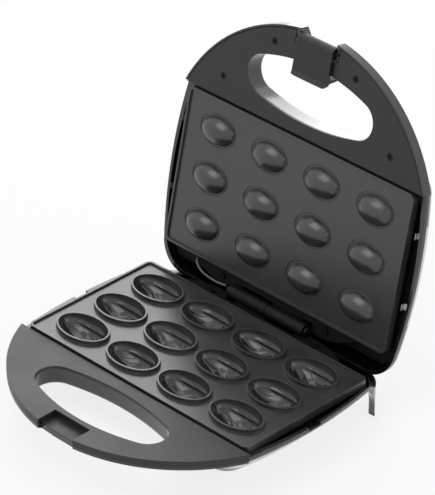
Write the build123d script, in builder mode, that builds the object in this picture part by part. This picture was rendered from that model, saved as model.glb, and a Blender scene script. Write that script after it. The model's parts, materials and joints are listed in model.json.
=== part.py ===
from build123d import *
import os
from math import cos, radians, sin

# Twelve-cup nut-cookie maker: a hinged base and lid with cooking plates, modelled open.
# Millimetres. X to the right seen from the handle side, Y towards the hinge, Z up, floor at Z = 0.
# Both halves are drawn closed, by their height above or below the parting plane,
# and the lid is drawn on a plane that is turned about the hinge by the open angle.

# Stance
parting_height = 39.0
plate_centre_y = 0.5839
open_angle = 102.15

# Cooking plates, sized by the pitch of their cups
pitch_x = 52.0
pitch_y = 37.8
columns = 4
rows = 3
plate_side_margin = 7.0
plate_end_margin = 5.3
plate_width = columns * pitch_x + 2 * plate_side_margin
plate_depth = rows * pitch_y + 2 * plate_end_margin
plate_corner = 5.0
plate_gap = 0.3
lip_width = 1.8
lip_height = 1.5
skirt_height = 6.5
skirt_wall = 2.5
plate_skin = 3.0

# Cups of the lower plate and domes of the upper plate
cup_length = 43.0
cup_width = 28.5
cup_wall = 2.3
ring_wall = 1.8
ring_top = 1.25
ring_draft = 6.0
cup_rise = 0.5
seam_width = 1.4
seam_rise = 1.1
dome_length = 33.0
dome_width = 22.6
dome_height = 8.5
dome_wall = 2.4
groove_gap = 0.4
groove_width = 0.9
groove_depth = 0.5

# Handle of each half in front of the plates
frame_gap = 1.5
handle_reach = 76.5
handle_radius = 126.0
neck_half = 92.0
neck_overlap = 13.5
frame_back_y = -plate_depth / 2 - frame_gap
handle_front_y = frame_back_y - handle_reach
neck_back_y = frame_back_y + neck_overlap
wall = 2.4

# Hinge line behind the plates
hinge_room = 12.5
hinge_y = plate_depth / 2 + hinge_room

# Plan of both bodies: room beside the plates and behind the hinge
side_room_front = 6.5
side_room_middle = 10.8
side_room_back = 5.0
front_overlap = 12.5
front_bow = 16.0
rear_room = 10.0
body_front_half = plate_width / 2 + side_room_front
body_middle_half = plate_width / 2 + side_room_middle
body_back_half = plate_width / 2 + side_room_back
widest_y = 12.0
front_corner_width = 13.0
front_corner_depth = 14.0
rear_corner_width = 27.0
corner_bulge = 0.3
corner_front_y = frame_back_y - front_overlap
middle_front_y = corner_front_y + front_bow
body_rear_y = hinge_y + rear_room

# Height away from the parting plane against how far the side has drawn in
base_profile = [(6.5, 2.5), (9.5, 3.1), (12.5, 5.4), (16.0, 8.8), (20.5, 13.4), (28.0, 21.6), (36.0, 30.6)]
base_rim = 5.3
base_front_share = 0.6
base_rear_share = 0.15
base_rear_corner = 22.0
lid_profile = [(8.5, 0.0), (12.0, 1.2), (16.0, 3.6), (22.0, 8.4), (29.0, 15.6), (35.0, 24.0), (38.0, 33.0)]
lid_rim = 5.5
lid_front_share = 0.85
lid_rear_share = 0.25
lid_rear_corner = 18.5
inner_setback = 10.0

# Rear rim of the base, cut back so that the lid's back wall comes to rest over it
rear_cut_start = 13.5
rear_cut_end = 3.5
base_rear_rim = 13.0

# Handles
frame_face = 1.7
frame_skin = 2.2
frame_skirt = 2.0
handle_seam = 7.0
base_handle_bottom = 17.0
base_bevel_depth = 8.0
base_bevel_run = 16.0
lid_handle_top = 20.0
lid_bevel_depth = 10.5
lid_bevel_run = 15.5
lid_rim_width = 1.5
frame_slit = 0.6
handle_back_y = frame_back_y - frame_slit
hole_half = 62.0
hole_front_gap = 22.5
hole_back_gap = 10.0
hole_shoulder_x = 52.0
hole_front_rise = 9.2
hole_back_rise = 7.0
hole_front_y = handle_front_y + hole_front_gap
hole_back_y = frame_back_y - hole_back_gap
hole_front_shoulder_y = hole_front_y + hole_front_rise
hole_back_shoulder_y = hole_back_y - hole_back_rise
hole_edge_round = 2.5
plate_clearance = 0.8

# Latch clip, its pocket, the notch it drops into and the catch under the base's handle
latch_half = 17.2
latch_side_gap = 0.5
pivot_inset = 6.3
pivot_y = handle_front_y + pivot_inset
pivot_height = 2.8
barrel_radius = 4.3
clip_thickness = 2.5
clip_reach = 23.3
lip_reach = 2.8
lip_flare = 2.3
lip_corner = 5.0
tooth_start = 20.9
tooth_thickness = 2.4
tooth_rise = 8.0
pin_radius = 1.5
pin_clearance = 0.05
ear_grip = 3.4
notch_inset = 5.1
notch_y = handle_front_y + notch_inset
pocket_inset = 18.4
pocket_back_y = handle_front_y + pocket_inset
pocket_wall = 1.2
pocket_depth = 4.8
catch_half = 13.0
catch_setback = 5.0
catch_depth = 6.5
catch_height = 5.0

# Hinge
knuckle_radius = 5.2
knuckle_length = 30.2
knuckle_gap = 0.3
lug_width = 7.0
hinge_pin_radius = 2.0
hinge_clearance = 0.05
pin_head_radius = 3.2
pin_head_length = 2.0
flange_height = 4.0
flange_thickness = 3.0
flange_ahead = 9.9
flange_behind = 1.5
flange_front_y = hinge_y - flange_ahead
flange_back_y = hinge_y + flange_behind
flange_outer_half = 82.0
flange_inner_half = 43.0
web_half_depth = 4.0
swing_clearance = 0.7
hinge_post_x = 52.0
hinge_post_ahead = 5.5
hinge_post_y = hinge_y - hinge_post_ahead

# Legs, which carry the rear corners' walls down to the floor, and front feet
leg_wall = 3.2
leg_top_height = 8.0
leg_steps = [(8.0, 34.0), (15.0, 24.0), (22.0, 15.0), (30.0, 11.0)]
leg_tip_size = 9.0
leg_side_inset = 10.4
leg_rear_inset = 7.6
leg_x = body_back_half - leg_side_inset
leg_y = body_rear_y - leg_rear_inset
pad_thickness = 1.5
foot_x = 72.0
foot_inset = 25.0
foot_y = foot_inset - plate_depth / 2
foot_radius = 9.0
foot_tip_radius = 7.0

# Heaters, reflectors and what is screwed together inside
rod_radius = 3.25
rod_gap = 0.1
rod_end_inset = 19.0
rod_turn_inset = 27.6
rod_end_x = plate_width / 2 - rod_end_inset
rod_turn_x = rod_turn_inset - plate_width / 2
terminal_radius = 1.2
terminal_length = 8.0
strap_width = 8.0
strap_thickness = 0.8
sheet = 0.8
base_tray_floor = 19.1
lid_tray_floor = 15.6
base_tray_rim = 11.6
lid_tray_rim = 11.6
tray_side_inset = 12.0
tray_front_inset = 11.5
tray_back_inset = 7.0
tray_half = plate_width / 2 - tray_side_inset
tray_front_y = tray_front_inset - plate_depth / 2
tray_back_y = plate_depth / 2 - tray_back_inset
tray_inset = 5.6
lid_tray_inset = 1.6
tray_overlap = 0.5
tray_rear_y = hinge_y + tray_overlap
post_x = pitch_x
post_radius = 5.0
plate_boss_radius = 3.8
screw_radius = 1.9
thread_clearance = 0.1
screw_head_radius = 3.6
screw_head_height = 2.2
screw_bite = 7.0
side_screw_x = 82.0
side_screw_inset = 16.5
front_screw_x = 39.5
front_screw_inset = 17.2
end_screw_x = 74.0
end_screw_inset = 24.0
back_screw_x = 40.0
back_screw_inset = 6.0
lid_frame_screws = [
    (side_screw_x, frame_back_y - side_screw_inset),
    (front_screw_x, handle_front_y + front_screw_inset),
]
base_frame_screws = [
    (end_screw_x, frame_back_y - end_screw_inset),
    (back_screw_x, frame_back_y - back_screw_inset),
]
small_screw_radius = 1.4
small_head_radius = 2.8
small_head_height = 1.6
small_post_radius = 3.8
cross_slot = 0.7
thermostat_radius = 3.4
thermostat_height = 8.0
fuse_radius = 2.0
fuse_length = 22.0
lead_radius = 1.3
lead_bend = 4.0
terminal_block_size = (28.0, 12.0, 11.0)
terminal_block_x = 26.0
terminal_block_ahead = 6.5
terminal_block_y = hinge_y - terminal_block_ahead
inlet_x = -60.0
inlet_height = 24.0
inlet_bore = 3.4
inlet_neck = 5.0
inlet_flange = 7.4
inlet_pad = 8.6

# Bright cover panel of the lid and its tabs
cover_front_y = -40.0
cover_back_y = 38.0
cover_edge = 8.8
cover_sheet = 0.8
cover_gap = 0.3
tab_y = [-31.0, 24.0]
tab_width = 5.0
tab_inset = 8.0
tab_x = body_middle_half - tab_inset
tab_drop = 4.0

# Indicator lamps
lamp_x = 13.0
lamp_height = 27.0
lamp_slope = 13.7
lamp_y = middle_front_y + lid_front_share * lamp_slope
lamp_tilt = 45.0
lamp_radius = 3.6
lamp_length = 6.0
lamp_proud = 1.2
lamp_dome = 1.2

# Small notch in each side of the base's rim
vent_y = -2.0
vent_width = 12.0
vent_depth = 2.6

base_shape = (base_front_share, base_rear_share, base_rear_corner)
lid_shape = (lid_front_share, lid_rear_share, lid_rear_corner)
reach = 2.5 * handle_radius
handle_centre_y = handle_front_y + handle_radius
plate_face = plate_gap / 2 + lip_height
ring_height = plate_face + ring_top
hinge_height = parting_height

turn = radians(open_angle)
base_plane = Plane(origin=(0, plate_centre_y, parting_height))
lid_y_dir = Vector(0, cos(turn), -sin(turn))
lid_z_dir = Vector(0, sin(turn), cos(turn))
hinge_point = Vector(0, plate_centre_y + hinge_y, hinge_height)
lid_plane = Plane(
    origin=hinge_point - lid_y_dir * hinge_y,
    x_dir=(1, 0, 0),
    z_dir=lid_z_dir,
)


def level(half, height):
    """Plane at a height above the parting plane, of the base or of the lid."""
    return half.offset(height)


def side_plane(half, x):
    """Plane square to X: its own x runs to the rear and its own y runs up."""
    return Plane(origin=half.from_local_coords((x, 0, 0)), x_dir=half.y_dir, z_dir=half.x_dir)


def along_x(half, x, y, z):
    """Plane square to X at a point, for round pins."""
    return Plane(origin=half.from_local_coords((x, y, z)), x_dir=half.y_dir, z_dir=half.x_dir)


def body_outline(slope, inward, front_share, rear_share, rear_corner, setback=0.0):
    """Closed plan of the body, drawn in by the side's slope and by a wall."""
    draw = slope + inward
    front_half = body_front_half - draw
    back_half = body_back_half - draw
    corner_y = corner_front_y + front_share * slope + inward + setback
    middle_y = middle_front_y + front_share * slope + inward
    rear_y = body_rear_y - rear_share * slope - inward
    side_front = (front_half, corner_y + front_corner_depth)
    side_back = (back_half, rear_y - rear_corner)
    front_end = (front_half - front_corner_width, corner_y)
    rear_end = (back_half - rear_corner_width, rear_y)
    front_bulge = (
        front_half - corner_bulge * front_corner_width,
        corner_y + corner_bulge * front_corner_depth,
    )
    rear_bulge = (
        back_half - corner_bulge * rear_corner_width,
        rear_y - corner_bulge * rear_corner,
    )
    with BuildLine() as outline:
        ThreePointArc(front_end, front_bulge, side_front)
        ThreePointArc(side_front, (body_middle_half - draw, widest_y), side_back)
        ThreePointArc(side_back, rear_bulge, rear_end)
        Line(rear_end, (-rear_end[0], rear_y))
        ThreePointArc(
            (-rear_end[0], rear_y),
            (-rear_bulge[0], rear_bulge[1]),
            (-side_back[0], side_back[1]),
        )
        ThreePointArc(
            (-side_back[0], side_back[1]),
            (-body_middle_half + draw, widest_y),
            (-side_front[0], side_front[1]),
        )
        ThreePointArc(
            (-side_front[0], side_front[1]),
            (-front_bulge[0], front_bulge[1]),
            (-front_end[0], corner_y),
        )
        ThreePointArc((-front_end[0], corner_y), (0, middle_y), front_end)
    make_face(outline.line)


def half_form(half, side, profile, rim, shape, depth, setback=0.0, mode=Mode.ADD):
    """Body of one half, solid, drawn in everywhere by a depth. Side is 1 for the lid, -1 for the base."""
    last = len(profile) - 1
    start_height, start_slope = profile[0]
    sections = []
    with BuildSketch(level(half, side * rim)) as plan:
        body_outline(start_slope, depth, *shape, setback)
    extrude(plan.sketch, amount=side * (start_height - rim), mode=mode)
    for step, (height, slope) in enumerate(profile):
        share = step / last
        with BuildSketch(level(half, side * (height - depth * share))) as plan:
            body_outline(slope, depth * (1 - share), *shape, setback)
        sections.append(plan.sketch)
    loft(sections, mode=mode)


def base_form(depth, mode=Mode.ADD):
    """Solid form of the base's body, or of its hollow when it is drawn in."""
    opened = 1.0 if depth > 0 else 0.0
    setback = inner_setback * opened
    half_form(base_plane, -1, base_profile, base_rim - opened, base_shape, depth, setback, mode)


def lid_form(depth, setback=0.0, mode=Mode.ADD):
    """Solid form of the lid's body, drawn in by a depth."""
    opened = 1.0 if depth > 0 else 0.0
    half_form(lid_plane, 1, lid_profile, lid_rim - opened, lid_shape, depth, setback, mode)


def handle_disc(radius, back_y):
    """Front part of the round handle's plan, up to a straight back edge."""
    with Locations((0, handle_centre_y)):
        Circle(radius)
    with Locations((0, back_y - reach / 2)):
        Rectangle(2 * reach, reach, mode=Mode.INTERSECT)


def handle_slab(half, start, end, radius, bevel_run, bevel_depth):
    """Solid of a handle with its neck, thinned towards the rim by a slope on its far side."""
    with BuildPart() as slab:
        with BuildSketch(level(half, start)):
            handle_disc(radius, handle_back_y)
            with Locations((0, (handle_back_y + neck_back_y) / 2)):
                Rectangle(2 * neck_half, neck_back_y - handle_back_y)
            with BuildSketch(mode=Mode.SUBTRACT):
                handle_hole()
        extrude(amount=end - start)
        direction = half.z_dir if end > start else half.z_dir * -1
        far_face = slab.faces().sort_by(Axis(half.origin, direction))[-1]
        fillet(far_face.inner_wires()[0].edges(), hole_edge_round)
        far_face = slab.faces().sort_by(Axis(half.origin, direction))[-1]
        rim_edges = far_face.edges(
            ).filter_by(GeomType.CIRCLE).filter_by(lambda edge: edge.radius > radius - 1,
        )
        chamfer(rim_edges, bevel_run, bevel_depth, reference=far_face)
    return slab.part


def handle_hole():
    """Plan of the grip hole: a long slot with a curved front and back."""
    end_y = (hole_front_shoulder_y + hole_back_shoulder_y) / 2
    with BuildLine() as outline:
        ThreePointArc(
            (-hole_shoulder_x, hole_front_shoulder_y),
            (0, hole_front_y),
            (hole_shoulder_x, hole_front_shoulder_y),
        )
        ThreePointArc(
            (hole_shoulder_x, hole_front_shoulder_y),
            (hole_half, end_y),
            (hole_shoulder_x, hole_back_shoulder_y),
        )
        ThreePointArc(
            (hole_shoulder_x, hole_back_shoulder_y),
            (0, hole_back_y),
            (-hole_shoulder_x, hole_back_shoulder_y),
        )
        ThreePointArc(
            (-hole_shoulder_x, hole_back_shoulder_y),
            (-hole_half, end_y),
            (-hole_shoulder_x, hole_front_shoulder_y),
        )
    make_face(outline.line)


def rear_cut():
    """Takes the base's rear rim down, over a slope at each side."""
    start_y = hinge_y - rear_cut_start
    end_y = hinge_y - rear_cut_end
    far_y = body_rear_y + wall
    with BuildSketch(side_plane(base_plane, 0)) as plan:
        with BuildLine() as outline:
            Polyline(
                (start_y, wall - base_rim),
                (start_y, -base_rim),
                (end_y, -base_rear_rim),
                (far_y, -base_rear_rim),
                (far_y, wall - base_rim),
                close=True,
            )
        make_face(outline.line)
    extrude(plan.sketch, amount=reach, both=True, mode=Mode.SUBTRACT)


def corner_points():
    """The four posts that carry a cooking plate."""
    return [(x, y) for x in (-post_x, post_x) for y in (-pitch_y, pitch_y)]


def frame_points(screws):
    """The four screws of a handle frame."""
    return [(side * x, y) for x, y in screws for side in (-1, 1)]


def hinge_points():
    """The two screws of a hinge bracket."""
    return [(-hinge_post_x, hinge_post_y), (hinge_post_x, hinge_post_y)]


def posts(half, points, radius, start, end):
    """Round posts between two heights."""
    with BuildSketch(level(half, start)) as plan:
        with Locations(*points):
            Circle(radius)
    extrude(plan.sketch, amount=end - start)


def bores(half, points, radius, start, end):
    """Round holes between two heights."""
    with BuildSketch(level(half, start)) as plan:
        with Locations(*points):
            Circle(radius)
    extrude(plan.sketch, amount=end - start, mode=Mode.SUBTRACT)


def screw_set(half, points, head_at, side, shank, head, head_height, length):
    """Screws with round heads that point away from the given side. The head starts at head_at."""
    posts(half, points, head, head_at, head_at + side * head_height)
    posts(half, points, shank, head_at + side * head_height, head_at + side * length)
    for slot_length, slot_width in ((1.3 * head, cross_slot), (cross_slot, 1.3 * head)):
        with BuildSketch(level(half, head_at)) as plan:
            with Locations(*points):
                Rectangle(slot_length, slot_width)
        extrude(plan.sketch, amount=side * head_height / 2, mode=Mode.SUBTRACT)


def plate_tray(half, side):
    """Cast plate with its lip, skirt and hollow back."""
    lip_top = side * plate_gap / 2
    with BuildSketch(level(half, lip_top)) as plan:
        RectangleRounded(plate_width, plate_depth, plate_corner)
    extrude(plan.sketch, amount=side * skirt_height)
    inner = plate_corner - lip_width
    with BuildSketch(level(half, lip_top)) as plan:
        RectangleRounded(plate_width - 2 * lip_width, plate_depth - 2 * lip_width, inner)
    extrude(plan.sketch, amount=side * lip_height, mode=Mode.SUBTRACT)
    hollow = skirt_height - lip_height - plate_skin
    with BuildSketch(level(half, lip_top + side * skirt_height)) as plan:
        RectangleRounded(plate_width - 2 * skirt_wall, plate_depth - 2 * skirt_wall, inner)
    extrude(plan.sketch, amount=-side * hollow, mode=Mode.SUBTRACT)
    with BuildSketch(level(half, 0)) as plan:
        Rectangle(columns * pitch_x, rows * pitch_y)
    extrude(plan.sketch, amount=side * 2 * skirt_height, mode=Mode.SUBTRACT)


def heater_path(half, side):
    """The rod lies on the plate's back: out along one gap between the cups and back along the other."""
    lane = pitch_y / 2
    height = side * (plate_face + plate_skin + rod_radius + rod_gap)
    with BuildLine(level(half, height)) as run:
        Line((rod_end_x, lane), (rod_turn_x, lane))
        ThreePointArc((rod_turn_x, lane), (rod_turn_x - lane, 0), (rod_turn_x, -lane))
        Line((rod_turn_x, -lane), (rod_end_x, -lane))
    return run.line


def heater(half, side):
    """Tubular rod with a bare terminal pin at each end."""
    run = heater_path(half, side)
    with BuildSketch(Plane(origin=run @ 0, z_dir=run % 0)) as plan:
        Circle(rod_radius)
    sweep(plan.sketch, path=run)
    height = side * (plate_face + plate_skin + rod_radius + rod_gap)
    for lane in (-pitch_y / 2, pitch_y / 2):
        with BuildSketch(along_x(half, rod_end_x, lane, height)) as plan:
            Circle(terminal_radius)
        extrude(plan.sketch, amount=terminal_length)


def heater_straps(half, side):
    """Bent strips that hold the rod against the plate's back."""
    back = plate_face + plate_skin
    height = 2 * (rod_radius + rod_gap)
    for x in (-pitch_x, 0, pitch_x):
        for lane in (-pitch_y / 2, pitch_y / 2):
            with BuildSketch(side_plane(half, x - strap_width / 2)) as plan:
                with Locations((lane, side * (back + height / 2))):
                    Rectangle(2 * (rod_radius + rod_gap + strap_thickness), height)
                with Locations((lane, side * (back + height))):
                    Circle(rod_gap + strap_thickness)
                with Locations((lane, side * (back + height + strap_thickness / 2))):
                    Rectangle(2 * (rod_radius + rod_gap + strap_thickness), strap_thickness)
                with Locations((lane, side * (back + height / 2))):
                    Rectangle(2 * (rod_radius + rod_gap), height, mode=Mode.SUBTRACT)
            extrude(plan.sketch, amount=strap_width)


def reflector(half, side, floor, rim, shape, slope):
    """Sheet tray behind a plate, with a flange that closes the trough around it."""
    tray_depth = tray_back_y - tray_front_y
    centre_y = (tray_back_y + tray_front_y) / 2
    with BuildSketch(level(half, side * rim)) as plan:
        body_outline(slope, wall + sheet, *shape, inner_setback)
        with Locations((0, tray_rear_y - reach / 2)):
            Rectangle(reach, reach, mode=Mode.INTERSECT)
        with Locations((0, centre_y)):
            Rectangle(2 * tray_half, tray_depth, mode=Mode.SUBTRACT)
    extrude(plan.sketch, amount=side * sheet)
    with BuildSketch(level(half, side * rim)) as plan:
        with Locations((0, centre_y)):
            Rectangle(2 * tray_half, tray_depth)
            Rectangle(2 * (tray_half - sheet), tray_depth - 2 * sheet, mode=Mode.SUBTRACT)
    extrude(plan.sketch, amount=side * (floor + sheet - rim))
    with BuildSketch(level(half, side * floor)) as plan:
        with Locations((0, centre_y)):
            Rectangle(2 * tray_half, tray_depth)
    extrude(plan.sketch, amount=side * sheet)
    bores(half, corner_points(), screw_radius + thread_clearance, side * floor, side * (floor + sheet))
    clear = post_radius + tray_inset / 2
    bores(half, hinge_points(), clear, side * rim, side * (rim + sheet))
    slot = 4 * lead_radius + 6
    with BuildSketch(level(half, side * (rim + sheet))) as plan:
        with Locations((0, tray_back_y)):
            Rectangle(slot, 4 * sheet)
    extrude(plan.sketch, amount=side * (floor - rim - sheet), mode=Mode.SUBTRACT)


def hinge_bracket(half, side):
    """Flange with one long knuckle and, beyond the other half's knuckle, one lug."""
    near = side * flange_height
    with BuildSketch(level(half, near)) as plan:
        with BuildLine() as outline:
            Line((-flange_outer_half, flange_front_y), (flange_outer_half, flange_front_y))
            mid = ((flange_outer_half + flange_inner_half) / 2 + 1.5, flange_back_y - 2.6)
            ThreePointArc((flange_outer_half, flange_front_y), mid, (flange_inner_half, flange_back_y))
            Line((flange_inner_half, flange_back_y), (-flange_inner_half, flange_back_y))
            ThreePointArc(
                (-flange_inner_half, flange_back_y),
                (-mid[0], mid[1]),
                (-flange_outer_half, flange_front_y),
            )
        make_face(outline.line)
    extrude(plan.sketch, amount=side * flange_thickness)
    knuckle_start = knuckle_gap if side > 0 else -knuckle_gap - knuckle_length
    lug_offset = knuckle_gap + knuckle_length + knuckle_gap
    lug_start = -lug_offset - lug_width if side > 0 else lug_offset
    other_start = -knuckle_gap - knuckle_length if side > 0 else knuckle_gap
    other_lug = lug_offset if side > 0 else -lug_offset - lug_width
    clear_y = hinge_y - knuckle_radius - swing_clearance
    for start, length in ((other_start, knuckle_length), (other_lug, lug_width + 3 * knuckle_gap)):
        with BuildSketch(level(half, near)) as plan:
            with Locations((start + length / 2, clear_y + reach / 2)):
                Rectangle(length + 2 * knuckle_gap, reach)
        extrude(plan.sketch, amount=side * flange_thickness, mode=Mode.SUBTRACT)
    web = flange_height + flange_thickness
    for start, length in ((knuckle_start, knuckle_length), (lug_start, lug_width)):
        with BuildSketch(side_plane(half, start)) as plan:
            with Locations((hinge_y, 0)):
                Circle(knuckle_radius)
            with Locations((hinge_y, side * web / 2)):
                Rectangle(2 * web_half_depth, web)
            with Locations((hinge_y, 0)):
                Circle(hinge_pin_radius + hinge_clearance, mode=Mode.SUBTRACT)
        extrude(plan.sketch, amount=length)
    bores(half, hinge_points(), small_screw_radius + thread_clearance, near, side * web)


def spheroid(half_length, radius, centre_height, mode=Mode.ADD):
    """Egg shape lying along X, turned from half an ellipse."""
    with BuildSketch(Plane.XZ) as plan:
        with Locations((0, centre_height)):
            Ellipse(half_length, radius)
        with Locations((0, centre_height - radius)):
            Rectangle(4 * half_length, 2 * radius, mode=Mode.SUBTRACT)
    axis = Axis((0, 0, centre_height), (1, 0, 0))
    revolve(plan.sketch, axis=axis, mode=mode)


os.makedirs("parts", exist_ok=True)

# One cell of the lower plate: a ring, an egg-shaped cup and the nut's seam along its bottom
with BuildPart() as cup_cell:
    spheroid(cup_length / 2 + cup_wall, cup_width / 2 + cup_wall, ring_top)
    with Locations((0, 0, -plate_face)):
        Box(pitch_x, pitch_y, plate_skin, align=(Align.CENTER, Align.CENTER, Align.MAX))
        Box(pitch_x, pitch_y, pitch_x, align=(Align.CENTER, Align.CENTER, Align.MIN), mode=Mode.SUBTRACT)
    with BuildSketch(Plane.XY.offset(-plate_face)):
        Ellipse(cup_length / 2 + ring_wall, cup_width / 2 + ring_wall)
    extrude(amount=ring_height, taper=ring_draft)
    spheroid(cup_length / 2, cup_width / 2, ring_top + cup_rise, mode=Mode.SUBTRACT)
    with BuildSketch(Plane.XZ):
        with Locations((0, ring_top)):
            Ellipse(cup_length / 2 + cup_wall / 2, cup_width / 2 + cup_wall / 2)
            Ellipse(cup_length / 2 - seam_rise, cup_width / 2 - seam_rise, mode=Mode.SUBTRACT)
        with Locations((0, -seam_rise + cup_width / 2)):
            Rectangle(2 * cup_length, cup_width, mode=Mode.SUBTRACT)
    extrude(amount=seam_width / 2, both=True)

# One cell of the upper plate: a hollow dome with a fine groove round its foot
with BuildPart() as dome_cell:
    dome_sink = plate_face + dome_width / 2 - dome_height
    spheroid(dome_length / 2, dome_width / 2, dome_sink)
    with Locations((0, 0, plate_face)):
        Box(pitch_x, pitch_y, plate_skin, align=(Align.CENTER, Align.CENTER, Align.MIN))
    with Locations((0, 0, plate_face + plate_skin)):
        Box(pitch_x, pitch_y, pitch_x, align=(Align.CENTER, Align.CENTER, Align.MIN), mode=Mode.SUBTRACT)
    hollow_sink = plate_face + plate_skin + cup_rise
    spheroid(
        dome_length / 2 - dome_wall,
        hollow_sink - plate_face + dome_height - dome_wall,
        hollow_sink,
        mode=Mode.SUBTRACT,
    )
    with BuildSketch(Plane.XY.offset(plate_face)):
        groove_start = groove_gap + groove_width
        Ellipse(dome_length / 2 + groove_start, dome_width / 2 + groove_start)
        Ellipse(dome_length / 2 + groove_gap, dome_width / 2 + groove_gap, mode=Mode.SUBTRACT)
    extrude(amount=groove_depth, mode=Mode.SUBTRACT)

# Lower plate: a lip all round and twelve ringed cups
with BuildPart(base_plane) as lower_plate:
    plate_tray(base_plane, -1)
    with GridLocations(pitch_x, pitch_y, columns, rows):
        add(cup_cell.part)
    posts(base_plane, corner_points(), plate_boss_radius, -plate_face - plate_skin / 2, -base_tray_floor)
    bore_end = -base_tray_floor + screw_bite + screw_head_height
    bores(base_plane, corner_points(), screw_radius + thread_clearance, -base_tray_floor, bore_end)
lower_plate.part.label = "lower_plate"

# Upper plate: twelve domes that reach into the cups, each in a fine groove
with BuildPart(lid_plane) as upper_plate:
    plate_tray(lid_plane, 1)
    with GridLocations(pitch_x, pitch_y, columns, rows):
        add(dome_cell.part)
    posts(lid_plane, corner_points(), plate_boss_radius, plate_face + plate_skin / 2, lid_tray_floor)
    bore_end = lid_tray_floor - screw_bite
    bores(lid_plane, corner_points(), screw_radius + thread_clearance, lid_tray_floor, bore_end)
upper_plate.part.label = "upper_plate"

with BuildPart() as lower_heater:
    heater(base_plane, -1)
lower_heater.part.label = "lower_heater"

with BuildPart() as upper_heater:
    heater(lid_plane, 1)
upper_heater.part.label = "upper_heater"

with BuildPart() as lower_reflector:
    reflector(base_plane, -1, base_tray_floor, base_tray_rim, base_shape, tray_inset)
lower_reflector.part.label = "lower_reflector"

with BuildPart() as upper_reflector:
    reflector(lid_plane, 1, lid_tray_floor, lid_tray_rim, lid_shape, lid_tray_inset)
upper_reflector.part.label = "upper_reflector"

# Rear legs: the corners' walls carried down, cut to a curved taper
with BuildPart() as leg_walls:
    leg_drop = parting_height - pad_thickness - leg_top_height
    with BuildSketch(level(base_plane, -leg_top_height)):
        body_outline(base_profile[1][1], 0, *base_shape)
    extrude(amount=-leg_drop)
    with BuildSketch(level(base_plane, -leg_top_height)):
        body_outline(base_profile[1][1], leg_wall, *base_shape)
    extrude(amount=-leg_drop, mode=Mode.SUBTRACT)
with BuildPart() as rear_legs:
    for side in (-1, 1):
        for height, size in leg_steps + [(parting_height, leg_tip_size)]:
            with BuildSketch(level(base_plane, -height)):
                with Locations((side * leg_x, leg_y)):
                    Rectangle(size, size)
        loft()
    add(leg_walls.part, mode=Mode.INTERSECT)

# Hollow of the base's handle: its floor follows the bevelled underside round the hole and the notch
with BuildPart() as handle_hollow:
    floor_radius = handle_radius - base_bevel_run - wall / 4
    for height, radius in ((handle_seam, handle_radius - wall), (base_handle_bottom - wall, floor_radius)):
        with BuildSketch(level(base_plane, -height)):
            handle_disc(radius, middle_front_y - wall)
    loft()
    with BuildSketch(level(base_plane, 0)):
        with Locations((0, notch_y - reach / 2 + wall)):
            Rectangle(2 * (latch_half + latch_side_gap + wall), reach)
    extrude(amount=-parting_height, mode=Mode.SUBTRACT)
    with BuildSketch(level(base_plane, 0)):
        handle_hole()
        offset(amount=wall)
    extrude(amount=-parting_height, mode=Mode.SUBTRACT)

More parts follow.
